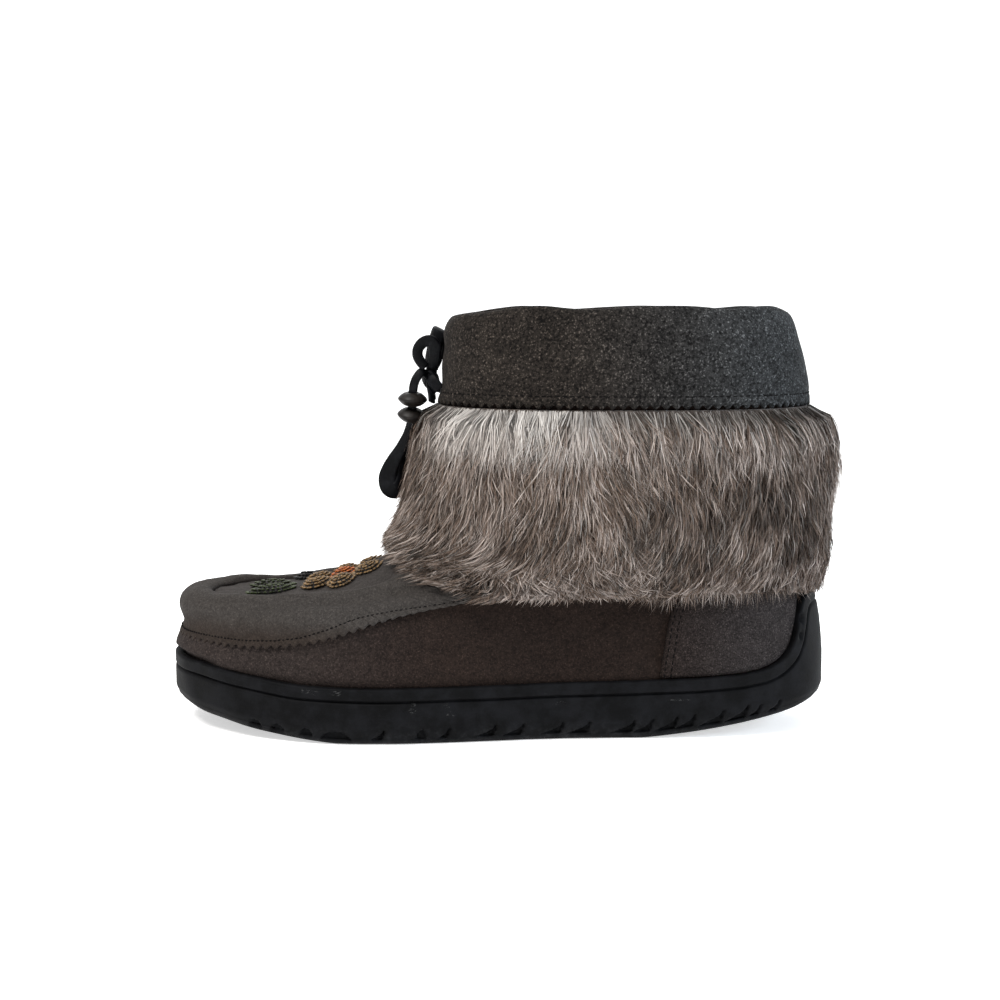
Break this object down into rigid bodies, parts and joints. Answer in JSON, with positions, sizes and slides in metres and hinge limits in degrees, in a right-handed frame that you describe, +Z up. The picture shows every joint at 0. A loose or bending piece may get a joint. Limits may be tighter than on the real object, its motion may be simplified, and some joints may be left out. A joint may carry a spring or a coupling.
{
  "type": "mukluk boot",
  "caption": "Short left mukluk boot with a fur cuff, suede collar and vamp, beaded toe plug, lace and rubber cup sole.",
  "frame": {"origin": "on the floor, under the middle of the boot's box without its lace", "axes": "+X from the toe to the heel, +Y from the outer side to the inner side, +Z up"},
  "size_m": [0.2773, 0.1154, 0.1719],
  "materials": {
    "rubber": "matt moulded rubber, scuffed along the rim",
    "felt": "matt felt insole",
    "suede": "napped suede, matt",
    "plug_suede": "napped suede, matt",
    "fur": "rabbit fur, taupe with pale roots",
    "orange_beads": "small glazed seed beads",
    "tan_beads": "small glazed seed beads",
    "olive_beads": "small glazed seed beads",
    "black_beads": "small glazed seed beads",
    "lace": "thin flat leather cord, satin",
    "dark_bead": "polished dark wood"
  },
  "bodies": {
    "root": {"outsole": "rubber", "footbed": "felt", "upper": "suede", "vamp_wrap": "suede", "toe_plug": "plug_suede", "heel_counter": "suede", "collar_cuff": "suede", "fur_cuff": "fur", "petal_1": "tan_beads", "petal_2": "tan_beads", "petal_3": "tan_beads", "petal_4": "tan_beads", "petal_5": "tan_beads", "petal_6": "tan_beads", "flower_centre": "orange_beads", "leaf_1": "olive_beads", "leaf_2": "olive_beads", "leaf_3": "black_beads", "lace_straps": "lace", "lace_knot": "lace", "lace_loop_front": "lace", "lace_loop_back": "lace", "lace_end_near": "lace", "lace_end_far": "lace", "lace_bead_1": "dark_bead", "lace_bead_2": "dark_bead", "lace_bead_3": "dark_bead", "lace_bead_4": "dark_bead"}
  },
  "joints": []
}
